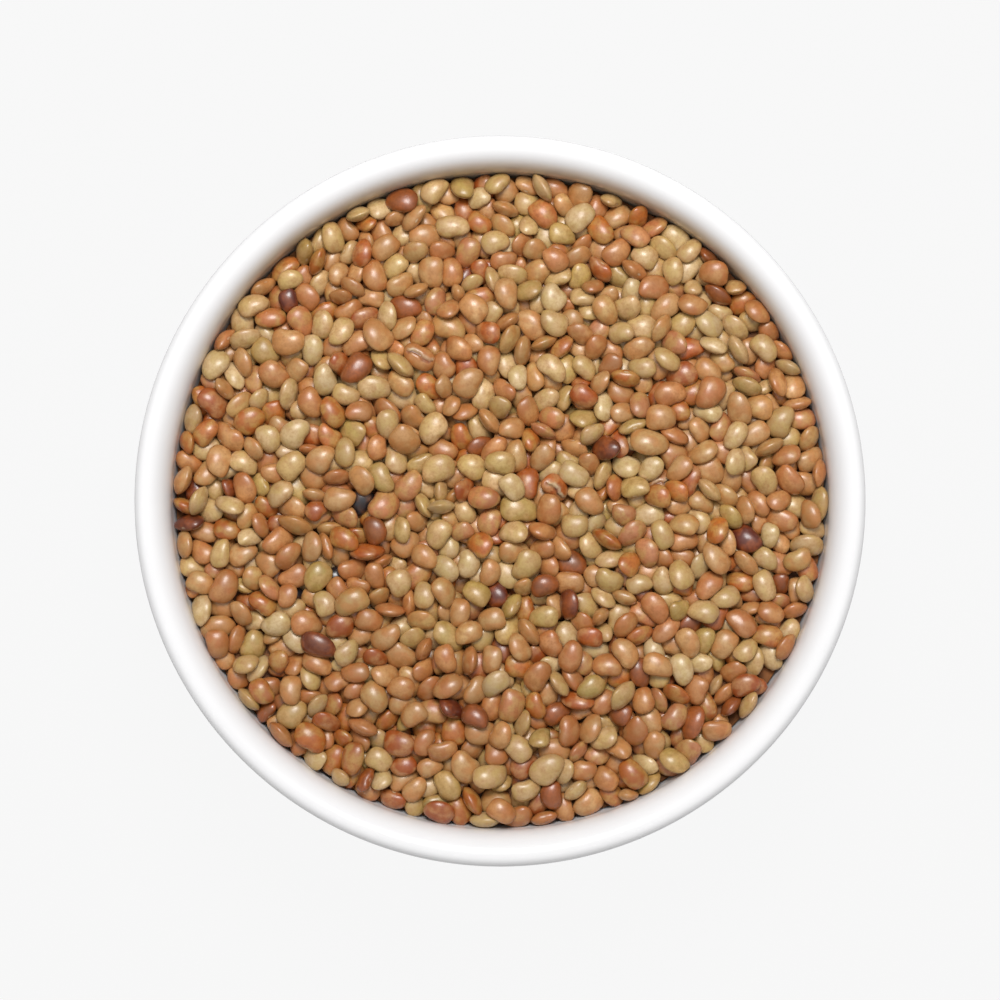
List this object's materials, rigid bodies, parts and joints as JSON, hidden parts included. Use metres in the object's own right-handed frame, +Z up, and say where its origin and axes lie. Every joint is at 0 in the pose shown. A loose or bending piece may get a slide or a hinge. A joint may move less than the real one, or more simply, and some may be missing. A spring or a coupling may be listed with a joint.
{
  "type": "bowl of horse gram",
  "caption": "Round footed bowl of white glazed stoneware, filled nearly to its rim with dry horse gram seeds.",
  "frame": {"origin": "centre of the foot ring's base, where the bowl stands", "axes": "+Z up along the bowl's axis. The bowl is round; in the picture, taken from straight above, +X is to the right and +Y is to the top"},
  "size_m": [0.1364, 0.1364, 0.055],
  "materials": {
    "glaze": "polished",
    "seed_coat": "satin"
  },
  "bodies": {
    "root": {"bowl": "glaze", "gram_heap": "seed_coat"}
  },
  "joints": []
}
